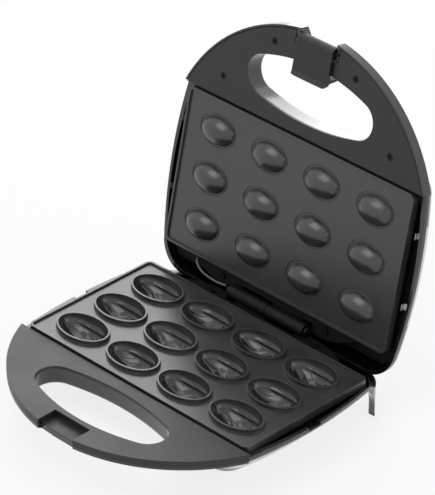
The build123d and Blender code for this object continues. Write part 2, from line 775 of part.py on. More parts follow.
# Lower shell: handle, tapering body and rear legs in one moulding
with BuildPart() as lower_shell:
    handle_drop = base_handle_bottom - handle_seam
    add(
        handle_slab(
            base_plane, -handle_seam, -base_handle_bottom, handle_radius, base_bevel_run, base_bevel_depth
        ),
    )
    base_form(0)
    add(rear_legs.part)
    add(handle_hollow.part, mode=Mode.SUBTRACT)
    base_form(wall, mode=Mode.SUBTRACT)
    with BuildSketch(level(base_plane, 0)):
        with Locations((0, frame_back_y + frame_slit - reach / 2)):
            Rectangle(2 * reach, reach)
        Rectangle(plate_width + 2 * plate_clearance, plate_depth + 2 * plate_clearance)
    extrude(amount=-handle_seam, mode=Mode.SUBTRACT)
    with BuildSketch(level(base_plane, -handle_seam)):
        handle_hole()
        offset(amount=wall)
    extrude(amount=handle_seam - frame_face - frame_skin)
    with BuildSketch(level(base_plane, 0)):
        handle_hole()
    extrude(amount=-parting_height, mode=Mode.SUBTRACT)
    rear_cut()
    floor_inside = base_profile[-1][0] - wall
    posts(base_plane, corner_points(), post_radius, -floor_inside, -base_tray_floor - sheet)
    posts(base_plane, hinge_points(), post_radius, -floor_inside, -flange_height - flange_thickness)
    handle_floor = base_handle_bottom - wall
    posts(base_plane, frame_points(base_frame_screws), small_post_radius, -handle_floor, -handle_seam)
    # Notch for the closed clip, with a catch behind its front wall
    with BuildSketch(level(base_plane, -handle_seam)):
        with Locations((0, notch_y - reach / 2)):
            Rectangle(2 * (latch_half + latch_side_gap), reach)
    extrude(amount=-handle_drop, mode=Mode.SUBTRACT)
    with BuildSketch(level(base_plane, -base_handle_bottom)):
        with Locations((0, notch_y + catch_setback + catch_depth / 2)):
            Rectangle(2 * catch_half, catch_depth)
    extrude(amount=catch_height)
    # Screw holes from below, with room for their heads
    base_floor = base_profile[-1][0]
    bores(
        base_plane,
        corner_points(),
        screw_radius + thread_clearance,
        -base_floor,
        -base_tray_floor - sheet,
    )
    bores(
        base_plane,
        corner_points(),
        screw_head_radius + thread_clearance,
        -base_floor,
        -base_floor + screw_head_height,
    )
    bores(
        base_plane,
        frame_points(base_frame_screws),
        small_screw_radius + thread_clearance,
        -base_handle_bottom,
        -handle_seam,
    )
    bores(
        base_plane,
        frame_points(base_frame_screws),
        small_head_radius + thread_clearance,
        -base_handle_bottom,
        -base_handle_bottom + small_head_height,
    )
    hinge_bite = flange_height + flange_thickness + screw_bite
    bores(base_plane, hinge_points(), small_screw_radius + thread_clearance, -hinge_bite, -flange_height)
    # Cord inlet through a flat pad in the rear wall
    inlet_plane = Plane(
        origin=base_plane.from_local_coords((inlet_x, body_rear_y, -inlet_height)),
        x_dir=(1, 0, 0),
        z_dir=(0, 1, 0),
    )
    with BuildSketch(inlet_plane):
        Circle(inlet_pad)
    extrude(amount=-2 * wall - 1.5)
    with BuildSketch(inlet_plane):
        Circle(inlet_neck + thread_clearance)
    extrude(amount=-4 * wall, mode=Mode.SUBTRACT)
    # Notches in the side rims
    for side in (-1, 1):
        with BuildSketch(level(base_plane, -base_rim)):
            with Locations((side * (body_middle_half - base_profile[0][1]), vent_y)):
                Rectangle(4 * wall, vent_width)
        extrude(amount=-vent_depth, mode=Mode.SUBTRACT)
lower_shell.part.label = "lower_shell"

# Lower handle frame, with its own outer wall and a pocket for the clip
with BuildPart() as lower_frame:
    with BuildSketch(level(base_plane, -frame_face)):
        handle_disc(handle_radius, frame_back_y)
    extrude(amount=-frame_skin)
    with BuildSketch(level(base_plane, -frame_face)):
        handle_disc(handle_radius, frame_back_y)
        with BuildSketch(mode=Mode.SUBTRACT):
            handle_disc(handle_radius - frame_skirt, frame_back_y - frame_skirt)
    extrude(amount=-(handle_seam - frame_face))
    pocket_half = latch_half + latch_side_gap
    pocket_floor = frame_face + pocket_depth
    with BuildSketch(level(base_plane, -frame_face)):
        with Locations((0, (pocket_back_y + pocket_wall + notch_y) / 2)):
            Rectangle(2 * (pocket_half + pocket_wall), pocket_back_y + pocket_wall - notch_y)
    extrude(amount=-(handle_seam - frame_face))
    with BuildSketch(level(base_plane, 0)):
        with Locations((0, pocket_back_y - reach / 2)):
            Rectangle(2 * pocket_half, reach)
    extrude(amount=-pocket_floor, mode=Mode.SUBTRACT)
    with BuildSketch(level(base_plane, 0)):
        with Locations((0, notch_y - reach / 2)):
            Rectangle(2 * pocket_half, reach)
    extrude(amount=-parting_height, mode=Mode.SUBTRACT)
    with BuildSketch(level(base_plane, 0)):
        handle_hole()
    extrude(amount=-parting_height, mode=Mode.SUBTRACT)
    posts(
        base_plane,
        frame_points(base_frame_screws),
        small_post_radius,
        -frame_face - frame_skin,
        -handle_seam,
    )
    frame_bore = -frame_face - frame_skin / 2
    bores(
        base_plane,
        frame_points(base_frame_screws),
        small_screw_radius + thread_clearance,
        -handle_seam,
        frame_bore,
    )
lower_frame.part.label = "lower_frame"

# Form that ends the cover's tabs inside its own sheet
with BuildPart() as tab_bound:
    lid_form(cover_sheet / 2)

# Tabs of the bright cover, bent in through the lid's side walls
with BuildPart() as cover_tabs:
    for side in (-1, 1):
        with BuildSketch(side_plane(lid_plane, 0).offset(side * tab_x)):
            for y in tab_y:
                with Locations((y, cover_edge + cover_sheet / 2)):
                    Rectangle(tab_width, cover_sheet)
        extrude(amount=side * reach)
    add(tab_bound.part, mode=Mode.INTERSECT)
    for side in (-1, 1):
        with BuildSketch(side_plane(lid_plane, 0).offset(side * tab_x)):
            for y in tab_y:
                with Locations((y, cover_edge + cover_sheet - tab_drop / 2)):
                    Rectangle(tab_width, tab_drop)
        extrude(amount=side * cover_sheet)

# Bright cover over the lid
with BuildPart() as cover_plate:
    lid_form(0)
    cover_depth = cover_back_y - cover_front_y
    cover_centre_y = (cover_back_y + cover_front_y) / 2
    with BuildSketch(level(lid_plane, cover_edge)):
        with Locations((0, cover_centre_y)):
            Rectangle(reach, cover_depth)
    extrude(amount=reach, mode=Mode.INTERSECT)
    lid_form(cover_sheet, mode=Mode.SUBTRACT)
    add(cover_tabs.part)
cover_plate.part.label = "cover_plate"

# Room for the cover: the same form, a little deeper and wider
with BuildPart() as cover_seat:
    lid_form(0)
    with BuildSketch(level(lid_plane, cover_edge - cover_gap)):
        with Locations((0, cover_centre_y)):
            Rectangle(reach, cover_depth + 2 * cover_gap)
    extrude(amount=reach, mode=Mode.INTERSECT)
    lid_form(cover_sheet + cover_gap / 3, mode=Mode.SUBTRACT)

lamp_planes = [
    Plane(
        origin=lid_plane.from_local_coords((side * lamp_x, lamp_y, lamp_height)),
        x_dir=(1, 0, 0),
        z_dir=lid_z_dir * cos(radians(lamp_tilt)) - lid_y_dir * sin(radians(lamp_tilt)),
    )
    for side in (-1, 1)
]

# Lid's handle, its hollow, whose roof follows the bevel, and the posts of its frame inside it
rim_radius = handle_radius + frame_slit + lid_rim_width
lid_slab = handle_slab(lid_plane, frame_face, lid_handle_top, rim_radius, lid_bevel_run, lid_bevel_depth)
with BuildPart() as lid_hollow:
    roof_start = lid_handle_top - lid_bevel_depth - wall
    with BuildSketch(level(lid_plane, frame_face)):
        handle_disc(handle_radius + frame_slit, middle_front_y - wall)
    extrude(amount=roof_start - frame_face)
    roof_radius = rim_radius - lid_bevel_run - wall / 4
    for height, radius in ((roof_start, handle_radius + frame_slit), (lid_handle_top - wall, roof_radius)):
        with BuildSketch(level(lid_plane, height)):
            handle_disc(radius, middle_front_y - wall)
    loft()
    with BuildSketch(level(lid_plane, 0)):
        with Locations((0, pivot_y + barrel_radius + swing_clearance + wall - reach / 2)):
            Rectangle(2 * (latch_half + ear_grip), reach)
    extrude(amount=parting_height, mode=Mode.SUBTRACT)
    with BuildSketch(level(lid_plane, 0)):
        handle_hole()
        offset(amount=wall)
    extrude(amount=parting_height, mode=Mode.SUBTRACT)
with BuildPart() as lid_posts:
    posts(
        lid_plane,
        frame_points(lid_frame_screws),
        small_post_radius,
        frame_face + frame_skin,
        lid_handle_top,
    )
    add(lid_slab, mode=Mode.INTERSECT)

# Upper shell: handle and domed body in one moulding
with BuildPart() as upper_shell:
    add(lid_slab)
    lid_form(0)
    add(lid_hollow.part, mode=Mode.SUBTRACT)
    lid_form(wall, setback=inner_setback, mode=Mode.SUBTRACT)
    with BuildSketch(level(lid_plane, frame_face)):
        handle_disc(handle_radius + frame_slit, frame_back_y + frame_slit)
        with Locations((0, pivot_y + barrel_radius + swing_clearance - reach / 2)):
            Rectangle(2 * (latch_half + ear_grip), reach, mode=Mode.SUBTRACT)
    extrude(amount=frame_skin, mode=Mode.SUBTRACT)
    with BuildSketch(level(lid_plane, 0)):
        RectangleRounded(plate_width + 2 * plate_clearance, plate_depth + 2 * plate_clearance, plate_corner)
    extrude(amount=plate_gap / 2 + skirt_height + plate_clearance, mode=Mode.SUBTRACT)
    add(cover_seat.part, mode=Mode.SUBTRACT)
    for side in (-1, 1):
        for y in tab_y:
            with BuildSketch(side_plane(lid_plane, 0).offset(side * (tab_x - wall))):
                with Locations((y, cover_edge + cover_sheet / 2)):
                    Rectangle(tab_width + 2 * cover_gap, cover_sheet + 2 * cover_gap)
            extrude(amount=side * reach, mode=Mode.SUBTRACT)
    lid_inside = lid_profile[-1][0] - wall
    posts(lid_plane, corner_points(), post_radius, lid_tray_floor + sheet, lid_inside)
    posts(lid_plane, hinge_points(), post_radius, flange_height + flange_thickness, lid_inside)
    add(lid_posts.part)
    # Notch for the clip's barrel, right through the rim, between two ears
    pocket_half = latch_half + latch_side_gap
    with BuildSketch(level(lid_plane, 0)):
        with Locations((0, pivot_y + barrel_radius + swing_clearance - reach / 2)):
            Rectangle(2 * pocket_half, reach)
    extrude(amount=lid_handle_top + wall, mode=Mode.SUBTRACT)
    with BuildSketch(along_x(lid_plane, -latch_half - ear_grip, pivot_y, pivot_height)):
        Circle(pin_radius + pin_clearance / 2)
    extrude(amount=2 * (latch_half + ear_grip), mode=Mode.SUBTRACT)
    # Blind screw holes and the two lamp holes
    screw_end = lid_tray_floor + sheet + screw_bite
    bores(lid_plane, corner_points(), screw_radius + thread_clearance, lid_tray_floor + sheet, screw_end)
    frame_end = frame_face + screw_bite + frame_skin
    bores(
        lid_plane,
        frame_points(lid_frame_screws),
        small_screw_radius + thread_clearance,
        frame_face + frame_skin,
        frame_end,
    )
    hinge_end = flange_height + flange_thickness + screw_bite
    bores(lid_plane, hinge_points(), small_screw_radius + thread_clearance, flange_height, hinge_end)
    for plane in lamp_planes:
        with BuildSketch(plane.offset(lamp_length)):
            Circle(lamp_radius + thread_clearance)
        extrude(amount=-3 * lamp_length, mode=Mode.SUBTRACT)
upper_shell.part.label = "upper_shell"

# Upper handle frame with four countersunk screw holes
with BuildPart() as upper_frame:
    with BuildSketch(level(lid_plane, frame_face)):
        handle_disc(handle_radius, frame_back_y)
        with Locations((0, pivot_y + barrel_radius + swing_clearance + frame_slit - reach / 2)):
            Rectangle(2 * (latch_half + ear_grip + frame_slit), reach, mode=Mode.SUBTRACT)
        with BuildSketch(mode=Mode.SUBTRACT):
            handle_hole()
    extrude(amount=frame_skin)
    bores(
        lid_plane,
        frame_points(lid_frame_screws),
        small_screw_radius + thread_clearance,
        frame_face,
        frame_face + frame_skin,
    )
    seat_end = frame_face + small_head_height
    bores(
        lid_plane,
        frame_points(lid_frame_screws),
        small_head_radius + thread_clearance,
        frame_face,
        seat_end,
    )
upper_frame.part.label = "upper_frame"

with BuildPart() as base_hinge_bracket:
    hinge_bracket(base_plane, -1)
base_hinge_bracket.part.label = "base_hinge_bracket"

with BuildPart() as lid_hinge_bracket:
    hinge_bracket(lid_plane, 1)
lid_hinge_bracket.part.label = "lid_hinge_bracket"

# Hinge pin through both knuckles and both lugs, headed at each end
with BuildPart() as hinge_pin:
    pin_half = knuckle_length + 2 * knuckle_gap + lug_width + knuckle_gap
    with BuildSketch(along_x(base_plane, -pin_half, hinge_y, 0)):
        Circle(hinge_pin_radius)
    extrude(amount=2 * pin_half)
    for start in (-pin_half - pin_head_length, pin_half):
        with BuildSketch(along_x(base_plane, start, hinge_y, 0)):
            Circle(pin_head_radius)
        extrude(amount=pin_head_length)
hinge_pin.part.label = "hinge_pin"

# Latch: barrel, flat clip, flared finger lip and the tooth that hooks under the base
with BuildPart() as latch:
    clip_low = pivot_height - barrel_radius + 0.2
    with BuildSketch(side_plane(lid_plane, -latch_half)):
        with Locations((pivot_y, pivot_height)):
            Circle(barrel_radius)
        with BuildLine():
            lip_bend = pivot_y + clip_reach
            Polyline(
                (pivot_y, clip_low),
                (lip_bend, clip_low),
                (lip_bend + lip_reach * 0.6, clip_low - lip_flare * 0.4),
                (lip_bend + lip_reach, clip_low - lip_flare),
                (lip_bend + lip_reach + clip_thickness * 0.6, clip_low - lip_flare + clip_thickness * 0.8),
                (lip_bend + lip_reach * 0.8, clip_low + clip_thickness * 0.7),
                (lip_bend + lip_reach * 0.2, clip_low + clip_thickness),
                (pivot_y, clip_low + clip_thickness),
                close=True,
            )
        make_face()
        with BuildLine():
            tooth_y = pivot_y + tooth_start
            Polyline(
                (tooth_y, clip_low + clip_thickness / 2),
                (tooth_y, clip_low + clip_thickness + tooth_rise),
                (tooth_y + tooth_thickness * 0.5, clip_low + clip_thickness + tooth_rise),
                (tooth_y + tooth_thickness, clip_low + clip_thickness / 2),
                close=True,
            )
        make_face()
        with Locations((pivot_y, pivot_height)):
            Circle(pin_radius + pin_clearance, mode=Mode.SUBTRACT)
    extrude(amount=2 * latch_half)
    lip_end_y = pivot_y + clip_reach + lip_reach + clip_thickness * 0.6
    plan_length = 2 * (lip_end_y - pivot_y)
    with BuildSketch(level(lid_plane, -2 * barrel_radius - lip_flare)):
        with Locations((0, lip_end_y - plan_length / 2)):
            RectangleRounded(2 * latch_half, plan_length, lip_corner)
    extrude(amount=6 * barrel_radius, mode=Mode.INTERSECT)
latch.part.label = "latch"

with BuildPart() as latch_pin:
    pin_reach = latch_half + ear_grip - 0.4
    with BuildSketch(along_x(lid_plane, -pin_reach, pivot_y, pivot_height)):
        Circle(pin_radius)
    extrude(amount=2 * pin_reach)
latch_pin.part.label = "latch_pin"

with BuildPart() as front_feet:
    for side in (-1, 1):
        foot_top = base_profile[-1][0]
        with BuildSketch(level(base_plane, -foot_top)):
            with Locations((side * foot_x, foot_y)):
                Circle(foot_radius)
        with BuildSketch(level(base_plane, -parting_height)):
            with Locations((side * foot_x, foot_y)):
                Circle(foot_tip_radius)
        loft()
front_feet.part.label = "front_feet"

with BuildPart() as rear_foot_pads:
    with BuildSketch(level(base_plane, -parting_height)):
        body_outline(base_profile[1][1], 0, *base_shape)
    extrude(amount=pad_thickness)
    with BuildSketch(level(base_plane, -parting_height)):
        body_outline(base_profile[1][1], leg_wall, *base_shape)
    extrude(amount=pad_thickness, mode=Mode.SUBTRACT)
    with BuildSketch(level(base_plane, -parting_height)):
        with Locations((-leg_x, leg_y), (leg_x, leg_y)):
            Rectangle(leg_tip_size, leg_tip_size)
    extrude(amount=pad_thickness, mode=Mode.INTERSECT)
rear_foot_pads.part.label = "rear_foot_pads"

with BuildPart() as lower_plate_screws:
    head_start = -base_profile[-1][0]
    screw_length = base_profile[-1][0] - base_tray_floor + screw_bite
    screw_set(
        base_plane,
        corner_points(),
        head_start,
        1,
        screw_radius,
        screw_head_radius,
        screw_head_height,
        screw_length,
    )
lower_plate_screws.part.label = "lower_plate_screws"

with BuildPart() as upper_plate_screws:
    posts(
        lid_plane,
        corner_points(),
        screw_radius,
        lid_tray_floor - screw_bite + 1,
        lid_tray_floor + sheet + screw_bite - 1,
    )
upper_plate_screws.part.label = "upper_plate_screws"

with BuildPart() as upper_frame_screws:
    screw_set(
        lid_plane,
        frame_points(lid_frame_screws),
        frame_face,
        1,
        small_screw_radius,
        small_head_radius,
        small_head_height,
        frame_skin + screw_bite - 1,
    )
upper_frame_screws.part.label = "upper_frame_screws"

with BuildPart() as lower_frame_screws:
    lower_length = base_handle_bottom - frame_face - frame_skin
    screw_set(
        base_plane,
        frame_points(base_frame_screws),
        -base_handle_bottom,
        1,
        small_screw_radius,
        small_head_radius,
        small_head_height,
        lower_length,
    )
lower_frame_screws.part.label = "lower_frame_screws"

with BuildPart() as base_hinge_screws:
    hinge_screw_top = -flange_height + small_head_height
    screw_set(
        base_plane,
        hinge_points(),
        hinge_screw_top,
        -1,
        small_screw_radius,
        small_head_radius,
        small_head_height,
        small_head_height + flange_thickness + screw_bite - 1,
    )
base_hinge_screws.part.label = "base_hinge_screws"

with BuildPart() as lid_hinge_screws:
    screw_set(
        lid_plane,
        hinge_points(),
        flange_height - small_head_height,
        1,
        small_screw_radius,
        small_head_radius,
        small_head_height,
        small_head_height + flange_thickness + screw_bite - 1,
    )
lid_hinge_screws.part.label = "lid_hinge_screws"

# Thermostats stand on the backs of the plates, between the cups
with BuildPart() as lower_thermostat:
    plate_back = plate_face + plate_skin
    posts(base_plane, [(0, 0)], thermostat_radius, -plate_back, -plate_back - thermostat_height)
lower_thermostat.part.label = "lower_thermostat"

with BuildPart() as upper_thermostat:
    posts(lid_plane, [(0, 0)], thermostat_radius, plate_back, plate_back + thermostat_height)
upper_thermostat.part.label = "upper_thermostat"

with BuildPart() as thermal_fuse:
    with BuildSketch(along_x(lid_plane, pitch_x - fuse_length / 2, pitch_y * 0.75, plate_back + fuse_radius)):
        Circle(fuse_radius)
    extrude(amount=fuse_length)
thermal_fuse.part.label = "thermal_fuse"

# Terminal block on the base's floor, behind the tray
with BuildPart() as terminal_block:
    floor_inside = base_profile[-1][0] - wall
    with BuildSketch(level(base_plane, -floor_inside)):
        with Locations((terminal_block_x, terminal_block_y)):
            Rectangle(terminal_block_size[0], terminal_block_size[1])
    extrude(amount=terminal_block_size[2])
    for step in (-1, 0, 1):
        block_top = -floor_inside + terminal_block_size[2]
        with BuildSketch(level(base_plane, block_top)):
            with Locations((terminal_block_x + step * terminal_block_size[0] / 3, terminal_block_y)):
                Circle(screw_radius)
        extrude(amount=-terminal_block_size[2] / 3, mode=Mode.SUBTRACT)
terminal_block.part.label = "terminal_block"

# Leads from the terminal block to the lower thermostat
with BuildPart() as base_leads:
    lead_height = -(plate_back + thermostat_height + lead_radius)
    low_height = -floor_inside + terminal_block_size[2] / 2
    block_face = terminal_block_x - terminal_block_size[0] / 2
    for step in (-1, 1):
        lane = 2 * lead_radius * step
        run_y = terminal_block_y + lane
        route = [
            base_plane.from_local_coords(point)
            for point in (
                (block_face, run_y, low_height),
                (lane, run_y, low_height),
                (lane, run_y, lead_height),
                (lane, thermostat_radius / 2, lead_height),
            )
        ]
        with BuildLine() as lead_run:
            FilletPolyline(*route, radius=lead_bend)
        with BuildSketch(Plane(origin=lead_run.line @ 0, z_dir=lead_run.line % 0)):
            Circle(lead_radius)
        sweep(path=lead_run.line)
base_leads.part.label = "base_leads"

# Leads from the hinge side of the lid to the upper thermostat
with BuildPart() as lid_leads:
    lid_lead_height = plate_back + thermostat_height + lead_radius
    for step in (-1, 1):
        lane = 2 * lead_radius * step
        start = lid_plane.from_local_coords((lane, thermostat_radius / 2, lid_lead_height))
        end = lid_plane.from_local_coords((lane, body_rear_y - 4 * wall, lid_lead_height))
        with BuildLine() as lid_lead_run:
            Line(start, end)
        with BuildSketch(Plane(origin=start, z_dir=lid_y_dir)):
            Circle(lead_radius)
        sweep(path=lid_lead_run.line)
lid_leads.part.label = "lid_leads"

with BuildPart() as lower_heater_straps:
    heater_straps(base_plane, -1)
lower_heater_straps.part.label = "lower_heater_straps"

with BuildPart() as upper_heater_straps:
    heater_straps(lid_plane, 1)
upper_heater_straps.part.label = "upper_heater_straps"

# Bush that lines the cord inlet
with BuildPart() as cord_inlet_bush:
    with BuildSketch(inlet_plane):
        Circle(inlet_neck)
    extrude(amount=-2 * wall - 1.5)
    with BuildSketch(inlet_plane):
        Circle(inlet_flange)
    extrude(amount=wall)
    with BuildSketch(inlet_plane.offset(wall)):
        Circle(inlet_bore)
    extrude(amount=-5 * wall, mode=Mode.SUBTRACT)
cord_inlet_bush.part.label = "cord_inlet_bush"

# Lamps: a lens in the lid's front slope with a bulb behind it
lenses = []
for name, plane in zip(("power_lens", "ready_lens"), lamp_planes):
    with BuildPart() as lens:
        with BuildSketch(plane.offset(lamp_proud - lamp_length)):
            Circle(lamp_radius)
        extrude(amount=lamp_length)
        fillet(lens.faces().sort_by(Axis(plane.origin, plane.z_dir))[-1].edges(), lamp_dome)
    lens.part.label = name
    lenses.append(lens.part)

with BuildPart() as lamp_bulbs:
    for plane in lamp_planes:
        with BuildSketch(plane.offset(lamp_proud - lamp_length)):
            Circle(lamp_radius * 0.6)
        extrude(amount=-lamp_length)
lamp_bulbs.part.label = "lamp_bulbs"

pieces = [
    lower_shell.part,
    lower_frame.part,
    lower_plate.part,
    lower_heater.part,
    lower_heater_straps.part,
    lower_reflector.part,
    lower_thermostat.part,
    lower_plate_screws.part,
    lower_frame_screws.part,
    base_leads.part,
    terminal_block.part,
    cord_inlet_bush.part,
    base_hinge_bracket.part,
    base_hinge_screws.part,
    hinge_pin.part,
    front_feet.part,
    rear_foot_pads.part,
    upper_shell.part,
    cover_plate.part,
    upper_frame.part,
    upper_plate.part,
    upper_heater.part,
    upper_heater_straps.part,
    upper_reflector.part,
    upper_thermostat.part,
    thermal_fuse.part,
    upper_plate_screws.part,
    upper_frame_screws.part,
    lid_leads.part,
    lid_hinge_bracket.part,
    lid_hinge_screws.part,
    lamp_bulbs.part,
    latch.part,
    latch_pin.part,
    *lenses,
]
for piece in pieces:
    export_step(piece, f"parts/{piece.label}.step")
    print(piece.label, round(piece.volume, 1))
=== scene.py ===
# Nut-cookie maker, standing open: finishes, the walnut relief of its cups, a lead, floor, light and camera.
# Metres throughout; X to the right, Y towards the hinge, Z up from the floor.
import json
from math import cos, pi, radians, sin

import bpy
import numpy as np
from mathutils import Matrix


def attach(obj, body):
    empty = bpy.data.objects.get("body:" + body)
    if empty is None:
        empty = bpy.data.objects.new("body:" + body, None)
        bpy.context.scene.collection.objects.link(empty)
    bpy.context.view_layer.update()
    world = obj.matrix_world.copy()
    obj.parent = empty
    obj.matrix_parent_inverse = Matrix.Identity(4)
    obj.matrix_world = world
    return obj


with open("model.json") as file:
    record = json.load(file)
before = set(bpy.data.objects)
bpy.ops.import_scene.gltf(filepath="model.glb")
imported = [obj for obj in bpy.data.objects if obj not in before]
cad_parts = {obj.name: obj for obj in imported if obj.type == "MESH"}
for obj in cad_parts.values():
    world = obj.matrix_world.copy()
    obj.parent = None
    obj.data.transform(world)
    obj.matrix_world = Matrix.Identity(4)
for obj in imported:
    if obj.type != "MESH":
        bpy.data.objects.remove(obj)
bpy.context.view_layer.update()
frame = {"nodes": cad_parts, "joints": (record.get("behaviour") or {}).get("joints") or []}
nodes = frame["nodes"]
mm = 0.001
print("stage: frame loaded,", len(nodes), "nodes")

# The closed drawing is in mm from the middle of its parting plane, and its hinge line lies in that plane,
# so far behind the middle. The frame's hinge says where that line is, and how far the lid is turned back.
stance = dict(hingeBehind=74.5)
hinge = next(joint for joint in frame["joints"] if joint["name"] == "lid_hinge")
hingeY, hingeZ = (place / mm for place in hinge["pos_m"][1:])
openAngle = radians(hinge["range_deg"][1])


def toBase(x, y, z):  # the closed drawing's mm to metres in the base, measured from the hinge line
    place = np.broadcast_arrays(x, hingeY + y - stance["hingeBehind"], hingeZ + z)
    return np.stack(place, axis=-1) * mm


def toLid(x, y, z):  # the closed drawing's mm to metres in the lid, turned back about the hinge line
    away = y - stance["hingeBehind"]
    level = stance["hingeBehind"] + away * cos(openAngle) + z * sin(openAngle)
    return toBase(x, level, z * cos(openAngle) - away * sin(openAngle))


def hexColour(code):  # sRGB hex to linear, with alpha 1
    parts = [int(code[i : i + 2], 16) / 255 for i in (1, 3, 5)]
    return [part / 12.92 if part <= 0.04045 else ((part + 0.055) / 1.055) ** 2.4 for part in parts] + [1.0]


def addNode(tree, kind, values=None, links=None, **settings):  # one node with its settings, values and links
    node = tree.nodes.new(kind)
    for name, value in settings.items():
        setattr(node, name, value)
    for name, value in (values or {}).items():
        node.inputs[name].default_value = value
    for name, source in (links or {}).items():
        tree.links.new(source, node.inputs[name])
    return node


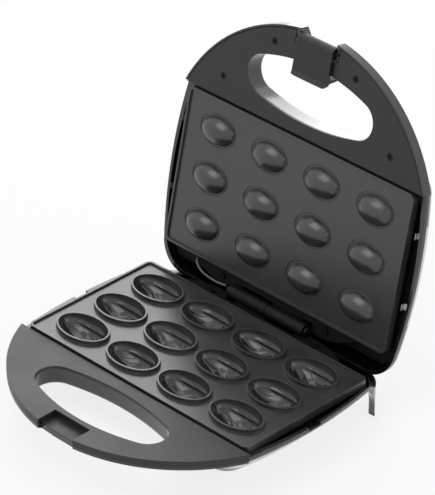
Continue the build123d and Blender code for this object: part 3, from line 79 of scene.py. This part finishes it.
# The finishes. Sizes are in mm.
# on: the nodes that wear it, tone and rough: the two ends that its clouds run between,
# grain: size of one blotch, relief: depth of the grain, cloud: size of a patch of tone,
# stretch: factors along X, Y and Z for a brushed grain, edge: how far corners are softened,
# surface: values of the shader that are the same all over
looks = dict(
    # Housing: ABS moulded in a polished tool, near black, so it mirrors the room at low angles
    glossAbs=dict(
        on=["lower_shell", "upper_shell"],
        tone=("#0b0b0d", "#101012"), rough=(0.12, 0.19), grain=3.0, relief=0.006, edge=0.6,
        surface={"IOR": 1.5, "Coat Weight": 0.6, "Coat Roughness": 0.06},
    ),
    # Frames: glass-filled PBT with a fine spark-eroded grain
    grainedPbt=dict(
        on=["lower_frame", "upper_frame"],
        tone=("#19191a", "#1f1f20"), rough=(0.40, 0.48), grain=0.5, relief=0.02, edge=0.5,
        surface={"IOR": 1.5},
    ),
    # Latch: the same plastic from a newer tool, a little darker and duller
    latchPbt=dict(
        on=["latch"],
        tone=("#121213", "#181819"), rough=(0.44, 0.52), grain=0.5, relief=0.02, edge=0.5,
        surface={"IOR": 1.5},
    ),
    # Plates: cast aluminium under a sprayed PTFE coat, dark grey with a satin film and faint orange peel
    ptfeCoat=dict(
        on=["lower_plate", "upper_plate"],
        tone=("#2a2a2a", "#313131"), rough=(0.27, 0.35), grain=0.8, cloud=18.0, relief=0.02, edge=0.5,
        surface={"IOR": 1.55, "Coat Weight": 0.35, "Coat Roughness": 0.2},
    ),
    # Cups: the same coat, glossier, with its tone made darker as painted shade inside the hollows of the
    # cups
    ptfeCupPaintedShade=dict(
        on=[],
        tone=("#0f0f10", "#161617"), rough=(0.16, 0.24), grain=0.8, cloud=6.0, relief=0.012, edge=0.1,
        surface={"IOR": 1.5, "Coat Weight": 0.4, "Coat Roughness": 0.12},
    ),
    # Cover: stainless sheet brushed across the lid with a belt
    brushedStainless=dict(
        on=["cover_plate"],
        tone=("#b4b4b6", "#d6d6d8"), rough=(0.22, 0.34), grain=0.4, cloud=1.0, stretch=(0.01, 1.0, 1.0),
        relief=0.006, surface={"Metallic": 1.0, "Anisotropic": 0.6},
    ),
    # Plate screws and fuse: steel, zinc plated in a barrel, slightly cloudy
    zincPlatedSteel=dict(
        on=["thermal_fuse", "lower_plate_screws", "upper_plate_screws"],
        tone=("#8d8f92", "#b4b6b8"), rough=(0.25, 0.42), grain=1.2, cloud=3.0, relief=0.004,
        surface={"Metallic": 1.0},
    ),
    # Pins and frame screws: steel blackened in a hot oxide bath, waxed, so it mirrors little. The hinge
    # screws wear it too, and on them the black is painted shade of the hinge gap
    blackOxideSteelAndHingeShade=dict(
        on=["hinge_pin", "latch_pin", "lower_frame_screws", "upper_frame_screws", "base_hinge_screws",
            "lid_hinge_screws"],
        tone=("#060607", "#0c0c0d"), rough=(0.42, 0.54), grain=0.8, cloud=3.0, relief=0.01, edge=0.2,
        surface={"Specular IOR Level": 0.25},
    ),
    # Heater sheath: drawn steel tube, dulled brown-grey by heat
    annealedSteelTube=dict(
        on=["lower_heater", "upper_heater"],
        tone=("#5b554f", "#7d766e"), rough=(0.38, 0.55), grain=2.5, relief=0.006, surface={"Metallic": 1.0},
    ),
    # Straps: rolled aluminised sheet, bright with a faint spangle
    aluminisedSheet=dict(
        on=["lower_heater_straps", "upper_heater_straps"],
        tone=("#9a9b9c", "#b9babb"), rough=(0.30, 0.44), grain=6.0, relief=0.004, surface={"Metallic": 1.0},
    ),
    # Trays and hinge leaves: steel sheet, dull, coloured near black as painted shade of the deep trough and
    # the hinge gap
    paintedShadeSheet=dict(
        on=["lower_reflector", "upper_reflector", "base_hinge_bracket", "lid_hinge_bracket"],
        tone=("#050506", "#0a0a0b"), rough=(0.5, 0.62), grain=2.0, relief=0.01,
        surface={"Specular IOR Level": 0.2},
    ),
    # Feet: moulded nitrile rubber, dull and dusty at the edge
    nitrileRubber=dict(
        on=["front_feet", "rear_foot_pads"],
        tone=("#0e0e0e", "#1a1a1a"), rough=(0.62, 0.78), grain=1.5, relief=0.02,
    ),
    # Thermostats and terminal block: pressed steatite, off-white and chalky
    pressedSteatite=dict(
        on=["lower_thermostat", "upper_thermostat", "terminal_block"],
        tone=("#c9c4b8", "#dedad0"), rough=(0.45, 0.6), grain=1.0, relief=0.02,
    ),
    # Inner leads: sleeve of braided glass yarn, about 0.8 mm pitch, with a soft sheen
    braidedGlassSleeve=dict(
        on=["base_leads", "lid_leads"],
        tone=("#b5b09c", "#d6d2c0"), rough=(0.75, 0.9), grain=0.8, relief=0.1, surface={"Sheen Weight": 0.3},
    ),
    # Lead across the hinge: extruded silicone rubber sleeve, mid grey and satin
    leadSleeve=dict(on=[], tone=("#5c5c5e", "#6a6a6c"), rough=(0.35, 0.5), grain=1.0, relief=0.01),
    # Cord inlet's bush: moulded PVC, black and satin
    mouldedPvc=dict(
        on=["cord_inlet_bush"],
        tone=("#0c0c0d", "#151516"), rough=(0.42, 0.55), grain=1.5, relief=0.02,
    ),
    # Lamp lenses: clear tinted polycarbonate with a faint moulded ripple
    redPolycarbonate=dict(
        on=["power_lens"],
        tone=("#8e0d08", "#b3160f"), rough=(0.06, 0.1), grain=1.5, relief=0.03, edge=0.2,
        surface={"IOR": 1.58, "Transmission Weight": 0.55},
    ),
    greenPolycarbonate=dict(
        on=["ready_lens"],
        tone=("#0c6a22", "#128a30"), rough=(0.06, 0.1), grain=1.5, relief=0.03, edge=0.2,
        surface={"IOR": 1.58, "Transmission Weight": 0.55},
    ),
    # Neon bulbs: drawn soda glass, warm and nearly clear
    neonBulbGlass=dict(
        on=["lamp_bulbs"],
        tone=("#d8c9b8", "#efe2d2"), rough=(0.05, 0.08), grain=1.5, relief=0.01, edge=0.2,
        surface={"IOR": 1.5, "Transmission Weight": 0.7},
    ),
)

# What a finish has where its own row says nothing, and what all of them share
usual = dict(
    cloud=30.0, stretch=(1, 1, 1), edge=0.3, surface={},
    grainDetail=3.0, grainSharpness=0.55, cloudDetail=4.0, cloudRange=(0.3, 0.7), edgeSamples=4,
)


def finish(name, own):  # two noises on Object coordinates: fine for bumps, broad for tone and roughness
    look = {**usual, **own}
    material = bpy.data.materials.new(name)
    material.use_nodes = True
    tree = material.node_tree
    tree.nodes.clear()
    place = addNode(tree, "ShaderNodeTexCoord").outputs["Object"]
    stretched = addNode(tree, "ShaderNodeMapping", {"Scale": look["stretch"]}, {"Vector": place})
    fine = addNode(
        tree,
        "ShaderNodeTexNoise",
        {
            "Scale": 1 / (look["grain"] * mm),
            "Detail": look["grainDetail"],
            "Roughness": look["grainSharpness"],
        },
        {"Vector": stretched.outputs["Vector"]},
    ).outputs["Fac"]
    broad = addNode(
        tree,
        "ShaderNodeTexNoise",
        {"Scale": 1 / (look["cloud"] * mm), "Detail": look["cloudDetail"]},
        {"Vector": stretched.outputs["Vector"]},
    ).outputs["Fac"]
    dark, light = (hexColour(code) for code in look["tone"])
    colour = addNode(  # a colour Mix has its factor, A and B at 0, 6 and 7, and its result at 2
        tree, "ShaderNodeMix", {6: dark, 7: light}, {0: broad}, data_type="RGBA"
    ).outputs[2]
    rough = addNode(
        tree,
        "ShaderNodeMapRange",
        {
            "From Min": look["cloudRange"][0],
            "From Max": look["cloudRange"][1],
            "To Min": look["rough"][0],
            "To Max": look["rough"][1],
        },
        {"Value": broad},
    ).outputs["Result"]
    soft = addNode(tree, "ShaderNodeBevel", {"Radius": look["edge"] * mm}, samples=look["edgeSamples"])
    bump = addNode(
        tree,
        "ShaderNodeBump",
        {"Strength": 1.0, "Distance": look["relief"] * mm},
        {"Height": fine, "Normal": soft.outputs["Normal"]},
    ).outputs["Normal"]
    shader = addNode(
        tree,
        "ShaderNodeBsdfPrincipled",
        look["surface"],
        {"Base Color": colour, "Roughness": rough, "Normal": bump},
    )
    addNode(tree, "ShaderNodeOutputMaterial", links={"Surface": shader.outputs["BSDF"]})
    return material


made = {}
for name, look in looks.items():
    made[name] = finish(name, look)
    for wearer in look["on"]:
        nodes[wearer].data.materials.clear()
        nodes[wearer].data.materials.append(made[name])
print("stage: finishes on the carried-over nodes")


def band(near, far, around):  # quads between closed rings of points that start at near and at far
    near, far = np.atleast_1d(near)[:, None], np.atleast_1d(far)[:, None]
    here = np.arange(around)
    after = (here + 1) % around
    return np.stack([near + here, far + here, far + after, near + after], axis=-1).reshape(-1, 4)


def fan(centre, start, around):  # triangles from one point to the closed ring of points that starts at start
    here = np.arange(around)
    return np.stack([np.full(around, centre), start + here, start + (here + 1) % around], axis=-1)


def flipped(faces):  # the same faces turned to look the other way
    return np.concatenate([faces[:, :1], faces[:, :0:-1]], axis=1)


def addSurface(name, points, faces, material, body):  # a smooth closed mesh that moves with a body
    mesh = bpy.data.meshes.new(name)
    mesh.from_pydata(points.tolist(), [], [face for part in faces for face in part.tolist()])
    mesh.polygons.foreach_set("use_smooth", [True] * len(mesh.polygons))
    mesh.update()
    mesh.materials.append(material)
    thing = bpy.data.objects.new(name, mesh)
    bpy.context.scene.collection.objects.link(thing)
    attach(thing, body)


# Half walnut in each cup, in mm and radians: a thin skin on the egg-shaped hollow, with a seam groove from
# end to end on its far flank and wrinkles beside it that fade out towards the cup's rim
walnut = dict(
    columns=4, rows=3, pitchX=52.0, pitchY=37.8,  # grid of the cups
    halfLength=21.5, halfWidth=14.25, centreHeight=1.75,  # hollow, with its centre above the parting plane
    spread=0.93, skin=0.6, rings=56, spokes=168,  # share of the hollow that is covered, thickness and grid
    lift=1.1, fadePower=8, rimSink=0.5,  # height over the hollow, how late it fades, share of the skin sunk
    seamLean=0.74, seamSpread=0.065,  # how far the seam leans up the flank, and its half width
    ridge=0.45, wavesAlong=6.0, wavesRound=9.0, crispness=2.0,  # height and spacing of the wrinkles
    bendTurns=4.0, bendAlong=1.8, bendRound=2.2,  # how often and how far they wander
    columnPhase=1.7, rowPhase=2.9,  # keeps each cup's wrinkles unlike its neighbours'
)


def wrinkles(u, lean, phase):
    # two crossing sines, each bent by a slower sine of the other direction, pushed to 0 or 1 by a tanh
    slow = walnut["bendTurns"]
    along = np.sin(walnut["wavesAlong"] * u + walnut["bendAlong"] * np.sin(slow * lean + phase))
    across = np.sin(walnut["wavesRound"] * lean + walnut["bendRound"] * np.sin(slow * u - phase))
    return 0.5 + 0.5 * np.tanh(walnut["crispness"] * along * across)


def walnutSkin(column, row):
    # Polar grid over the cup's ellipse, u along it and v across it, as shares of its half length and width.
    # hollow = centre height - half width * root of (1 - u squared - v squared)
    # top = hollow + (lift + ridge * wrinkles) * (1 - seam) * fade, sunk into the skin at the rim
    # underside = hollow - skin; a point closes each in the middle, and a band joins them at the rim
    rings, spokes, skin = walnut["rings"], walnut["spokes"], walnut["skin"]
    ring = (np.arange(1, rings + 1) / rings)[:, None]
    turn = (np.arange(spokes) * 2 * pi / spokes)[None, :]
    u = walnut["spread"] * ring * np.cos(turn)
    v = walnut["spread"] * ring * np.sin(turn)
    depth = np.sqrt(1.0 - u**2 - v**2)
    lean = np.arctan2(v, depth)
    seam = np.exp(-(((lean - walnut["seamLean"]) / walnut["seamSpread"]) ** 2))
    fade = 1.0 - ring ** walnut["fadePower"]
    raised = walnut["lift"] + walnut["ridge"] * wrinkles(
        u, lean, walnut["columnPhase"] * column + walnut["rowPhase"] * row
    )
    hollow = walnut["centreHeight"] - walnut["halfWidth"] * depth
    top = hollow + raised * (1.0 - seam) * fade - skin * walnut["rimSink"] * (1 - fade)
    middleX = walnut["pitchX"] * (column - (walnut["columns"] - 1) / 2)
    middleY = walnut["pitchY"] * (row - (walnut["rows"] - 1) / 2)
    bottom = walnut["centreHeight"] - walnut["halfWidth"]
    x = u * walnut["halfLength"] + middleX
    y = v * walnut["halfWidth"] + middleY
    points = np.concatenate([
        toBase(x, y, top).reshape(-1, 3),
        toBase(x, y, hollow - skin).reshape(-1, 3),
        toBase(middleX, middleY, np.array([bottom + walnut["lift"], bottom - skin])),
    ])
    count = rings * spokes
    starts = np.arange(rings) * spokes
    faces = [
        fan(2 * count, 0, spokes),
        flipped(fan(2 * count + 1, count, spokes)),
        band(starts[:-1], starts[1:], spokes),
        flipped(band(count + starts[:-1], count + starts[1:], spokes)),
        band(starts[-1], count + starts[-1], spokes),
    ]
    # the skin wears the cups' darker finish, which is painted shade in the hollows
    addSurface(f"walnutSkin{column}{row}", points, faces, made["ptfeCupPaintedShade"], "base")


# Lead that crosses the gap between the lid's plate and the hinge: points in the closed drawing, mm
lead = dict(
    radius=0.9, steps=71, sides=16, blend=0.5,  # blend: how widely each point pulls, in points squared
    path=((-80.5, 64.0, 5.6), (-78.2, 68.4, 3.0), (-74.5, 71.5, 2.4), (-69.8, 73.6, 2.4), (-64.4, 74.6, 2.4),
          (-58.0, 75.1, 2.4), (-51.7, 74.9, 2.4), (-45.2, 73.8, 2.4)),
)


def hingeLead():
    # A round tube on a smooth curve: each place on it is the mean of the path's points, weighted by a bell
    # that falls off with their distance along the path. A fan closes each end.
    path = np.array(lead["path"])
    at = np.linspace(0, len(path) - 1, lead["steps"])
    weights = np.exp(-((at[:, None] - np.arange(len(path))) ** 2) / lead["blend"])
    middle = weights @ path / weights.sum(axis=1)[:, None]
    along = np.gradient(middle, axis=0)
    along /= np.linalg.norm(along, axis=1)[:, None]
    side = np.cross(along, [0.0, 0.0, 1.0])
    side /= np.linalg.norm(side, axis=1)[:, None]
    over = np.cross(along, side)
    turn = (np.arange(lead["sides"]) * 2 * pi / lead["sides"])[None, :, None]
    rings = middle[:, None] + lead["radius"] * (np.cos(turn) * side[:, None] + np.sin(turn) * over[:, None])
    x, y, z = np.concatenate([rings.reshape(-1, 3), middle[[0, -1]]]).T
    count = lead["steps"] * lead["sides"]
    starts = np.arange(lead["steps"]) * lead["sides"]
    faces = [
        flipped(band(starts[:-1], starts[1:], lead["sides"])),
        flipped(fan(count, 0, lead["sides"])),
        fan(count + 1, starts[-1], lead["sides"]),
    ]
    addSurface("hingeLead", toLid(x, y, z), faces, made["leadSleeve"], "lid")


for column in range(walnut["columns"]):
    for row in range(walnut["rows"]):
        walnutSkin(column, row)
hingeLead()
print("stage: walnut relief in the cups, lead at the hinge")

# Floor half width in m, its grid, and how much of pure white the eye sees in it; light of the room itself
room = dict(floorHalf=3.0, cells=12, floorColour="#f4f4f4", floorGlow=0.82, worldLight=0.45)


def wideFloor():  # flat square grid at Z = 0, so many cells each way
    lines = room["cells"] + 1
    steps = np.linspace(-room["floorHalf"], room["floorHalf"], lines)
    gridX, gridY = np.meshgrid(steps, steps, indexing="ij")
    points = np.stack([gridX, gridY, 0 * gridX], axis=-1).reshape(-1, 3)
    corner = (np.arange(room["cells"])[:, None] * lines + np.arange(room["cells"])).reshape(-1)
    faces = np.stack([corner, corner + lines, corner + lines + 1, corner + 1], axis=1)
    mesh = bpy.data.meshes.new("floor")
    mesh.from_pydata(points.tolist(), [], faces.tolist())
    floor = bpy.data.objects.new("floor", mesh)
    bpy.context.scene.collection.objects.link(floor)
    return floor


def seenByEye(tree):  # 1 for camera, glossy and transmission rays, else 0
    path = addNode(tree, "ShaderNodeLightPath").outputs
    seen = path["Is Camera Ray"]
    for ray in ("Is Glossy Ray", "Is Transmission Ray"):
        seen = addNode(tree, "ShaderNodeMath", links={0: seen, 1: path[ray]}, operation="MAXIMUM").outputs[0]
    return seen


floor = wideFloor()
floorPaint = bpy.data.materials.new("matteWhitePaperSweep")
floorPaint.use_nodes = True
tree = floorPaint.node_tree
tree.nodes.clear()
paper = addNode(tree, "ShaderNodeBsdfDiffuse", {"Color": hexColour(room["floorColour"])})
glow = addNode(tree, "ShaderNodeEmission", {"Color": (1, 1, 1, 1), "Strength": 1.0})
share = addNode(tree, "ShaderNodeMath", {1: room["floorGlow"]}, {0: seenByEye(tree)}, operation="MULTIPLY")
mixed = addNode(
    tree, "ShaderNodeMixShader", links={0: share.outputs[0], 1: paper.outputs[0], 2: glow.outputs[0]}
)
addNode(tree, "ShaderNodeOutputMaterial", links={"Surface": mixed.outputs[0]})
floor.data.materials.append(floorPaint)

world = bpy.data.worlds.new("softbox room")
bpy.context.scene.world = world
world.use_nodes = True
tree = world.node_tree
tree.nodes.clear()
strength = addNode(
    tree, "ShaderNodeMapRange", {"To Min": room["worldLight"], "To Max": 1.0}, {"Value": seenByEye(tree)}
)
sky = addNode(tree, "ShaderNodeBackground", {"Color": (1, 1, 1, 1)}, {"Strength": strength.outputs[0]})
addNode(tree, "ShaderNodeOutputWorld", links={"Surface": sky.outputs[0]})


def outward(azimuth, elevation):  # unit vector at degrees from the front round to the right, and upwards
    bearing, rise = radians(azimuth), radians(elevation)
    return np.array([sin(bearing) * cos(rise), -cos(bearing) * cos(rise), sin(rise)])


def rightAndUp(back, roll):  # across and up for what looks against back, turned by roll degrees about it
    level = np.cross([0.0, 0.0, 1.0], back)
    level /= np.linalg.norm(level)
    top = np.cross(back, level)
    lean = radians(roll)
    return cos(lean) * level + sin(lean) * top, cos(lean) * top - sin(lean) * level


def standAt(thing, place, right, up, back):  # it looks against back from its place
    matrix = np.eye(4)
    matrix[:3] = np.stack([right, up, back, place], axis=1)
    thing.matrix_world = Matrix(matrix)


# Square area lights that face a point 100 mm above the floor: degrees, metres and watts
aim = (0.0, 0.0, 0.1)
softboxes = (
    dict(name="overhead key", azimuth=-20, elevation=68, distance=1.4, size=1.0, power=7.0),
    dict(name="low panel behind", azimuth=227, elevation=14, distance=1.7, size=1.2, power=12.0),
    dict(name="high panel behind", azimuth=222, elevation=48, distance=1.7, size=1.0, power=3.5),
    dict(name="right fill", azimuth=110, elevation=25, distance=1.8, size=1.2, power=6.0),
)


def softbox(name, azimuth, elevation, distance, size, power):
    data = bpy.data.lights.new(name, "AREA")
    data.shape = "SQUARE"
    data.size = size
    data.energy = power
    lamp = bpy.data.objects.new(name, data)
    bpy.context.scene.collection.objects.link(lamp)
    back = outward(azimuth, elevation)
    right, up = rightAndUp(back, 0.0)
    standAt(lamp, np.array(aim) + back * distance, right, up, back)


for box in softboxes:
    softbox(**box)

# Camera fitted to the photograph: degrees, and mm from the middle of the parting plane along its own axes
eye = dict(
    azimuth=44.399, elevation=31.876, roll=0.6205, distance=2515.17, right=15.354, up=73.851,
    lens=254.56, sensor=36.0, clipEnd=50.0,
)


def placeCamera():
    back = outward(eye["azimuth"], eye["elevation"])
    right, up = rightAndUp(back, eye["roll"])
    offset = right * eye["right"] + up * eye["up"] + back * eye["distance"]
    data = bpy.data.cameras.new("photo camera")
    data.lens = eye["lens"]
    data.sensor_width = eye["sensor"]
    data.sensor_fit = "AUTO"
    data.clip_end = eye["clipEnd"]
    camera = bpy.data.objects.new("photo camera", data)
    bpy.context.scene.collection.objects.link(camera)
    standAt(camera, toBase(0.0, 0.0, 0.0) + offset * mm, right, up, back)
    bpy.context.scene.camera = camera


placeCamera()
bpy.context.scene.view_settings.view_transform = "Standard"
print("stage: floor, light and camera")
